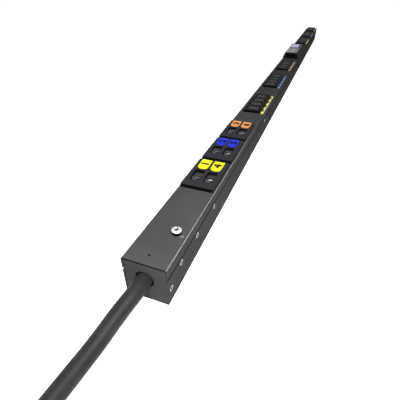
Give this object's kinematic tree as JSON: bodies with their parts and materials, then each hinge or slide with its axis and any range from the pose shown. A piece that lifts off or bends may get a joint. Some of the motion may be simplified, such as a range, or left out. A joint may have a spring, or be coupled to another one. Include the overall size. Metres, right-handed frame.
{
  "type": "rack power distribution unit",
  "caption": "Long slim steel rack power strip with moulded outlet blocks, breaker modules with rockers, a raised display with keypad, an earth screw and a thick supply cord with plug.",
  "frame": {"origin": "centre of the back face, midway between the two ends", "axes": "+Y along the unit from the cord end to the far end, +Z from the back to the outlet face, +X to the right seen from the cord end"},
  "size_m": [0.2422, 2.2514, 0.0722],
  "materials": {
    "grey_painted_steel": "satin textured powder coat",
    "zinc_steel": "bright zinc plated",
    "black_plastic": "fine moulded texture",
    "black_gloss_plastic": "semi gloss",
    "yellow_plastic": "smooth",
    "blue_plastic": "smooth",
    "orange_plastic": "smooth",
    "pale_yellow_plastic": "smooth",
    "pale_blue_plastic": "smooth",
    "pale_orange_plastic": "smooth",
    "light_plastic": "smooth",
    "grey_plastic": "satin",
    "clear_glass": "polished",
    "screen_glass": "backlit screen",
    "green_board": "lacquered",
    "contact_brass": "stamped",
    "cord_sheath": "matte",
    "plug_grey_plastic": "moulded",
    "plug_red_plastic": "moulded"
  },
  "bodies": {
    "unit": {"chassis_base": "grey_painted_steel", "front_cover": "grey_painted_steel", "cord_end_plate": "grey_painted_steel", "far_end_plate": "grey_painted_steel", "case_screws": "zinc_steel", "mounting_inserts": "zinc_steel", "block_rails": "zinc_steel", "earth_washer": "zinc_steel", "earth_screw": "zinc_steel", "terminal_screws": "zinc_steel", "cord_bushing": "black_plastic", "cable_end": "cord_sheath", "terminal_block": "light_plastic", "earth_bush": "black_plastic", "breaker_bezel_1": "black_plastic", "breaker_tags_1": "yellow_plastic", "breaker_1_left": "black_plastic", "breaker_1_right": "black_plastic", "breaker_bezel_2": "black_plastic", "breaker_tags_2": "blue_plastic", "breaker_2_left": "black_plastic", "breaker_2_right": "black_plastic", "breaker_bezel_3": "black_plastic", "breaker_tags_3": "orange_plastic", "breaker_3_left": "black_plastic", "breaker_3_right": "black_plastic", "outlet_block_1": "black_plastic", "outlet_block_2": "black_plastic", "outlet_block_3": "black_plastic", "outlet_block_4": "black_plastic", "outlet_block_5": "black_plastic", "outlet_block_6": "black_plastic", "label_strips_1": "pale_yellow_plastic", "label_strips_2": "pale_blue_plastic", "label_strips_3": "pale_orange_plastic", "line_contacts": "contact_brass", "neutral_contacts": "contact_brass", "earth_contacts": "contact_brass", "display_housing": "black_plastic", "display_glass": "clear_glass", "display_screen": "screen_glass", "keypad": "grey_plastic", "display_board": "green_board", "network_sockets": "black_plastic", "power_cord": "cord_sheath", "cord_coil": "cord_sheath", "coil_tie": "black_plastic", "plug_nut": "plug_grey_plastic", "plug_housing": "plug_red_plastic", "plug_pins": "contact_brass"},
    "rocker_1_left": {"rocker_1_left": "black_gloss_plastic"},
    "rocker_1_right": {"rocker_1_right": "black_gloss_plastic"},
    "rocker_2_left": {"rocker_2_left": "black_gloss_plastic"},
    "rocker_2_right": {"rocker_2_right": "black_gloss_plastic"},
    "rocker_3_left": {"rocker_3_left": "black_gloss_plastic"},
    "rocker_3_right": {"rocker_3_right": "black_gloss_plastic"},
    "button_back": {"button_back": "black_plastic"},
    "button_enter": {"button_enter": "black_plastic"},
    "button_down": {"button_down": "black_plastic"},
    "button_up": {"button_up": "black_plastic"}
  },
  "joints": [
    {"name": "rocker_1_left_tilt", "type": "hinge", "parent": "unit", "child": "rocker_1_left", "pos_m": [-0.0097, -0.7435, 0.0535], "axis": [1, 0, 0], "range_deg": [0, 20]},
    {"name": "rocker_1_right_tilt", "type": "hinge", "parent": "unit", "child": "rocker_1_right", "pos_m": [0.0097, -0.7435, 0.0535], "axis": [1, 0, 0], "range_deg": [0, 20]},
    {"name": "rocker_2_left_tilt", "type": "hinge", "parent": "unit", "child": "rocker_2_left", "pos_m": [-0.0097, -0.6605, 0.0535], "axis": [1, 0, 0], "range_deg": [0, 20]},
    {"name": "rocker_2_right_tilt", "type": "hinge", "parent": "unit", "child": "rocker_2_right", "pos_m": [0.0097, -0.6605, 0.0535], "axis": [1, 0, 0], "range_deg": [0, 20]},
    {"name": "rocker_3_left_tilt", "type": "hinge", "parent": "unit", "child": "rocker_3_left", "pos_m": [-0.0097, -0.5775, 0.0535], "axis": [1, 0, 0], "range_deg": [0, 20]},
    {"name": "rocker_3_right_tilt", "type": "hinge", "parent": "unit", "child": "rocker_3_right", "pos_m": [0.0097, -0.5775, 0.0535], "axis": [1, 0, 0], "range_deg": [0, 20]},
    {"name": "button_back_press", "type": "slide", "parent": "unit", "child": "button_back", "axis": [0, 0, -1], "range_m": [0, 0.0009], "stiffness_N_per_m": 200},
    {"name": "button_enter_press", "type": "slide", "parent": "unit", "child": "button_enter", "axis": [0, 0, -1], "range_m": [0, 0.0009], "stiffness_N_per_m": 200},
    {"name": "button_down_press", "type": "slide", "parent": "unit", "child": "button_down", "axis": [0, 0, -1], "range_m": [0, 0.0009], "stiffness_N_per_m": 200},
    {"name": "button_up_press", "type": "slide", "parent": "unit", "child": "button_up", "axis": [0, 0, -1], "range_m": [0, 0.0009], "stiffness_N_per_m": 200}
  ]
}
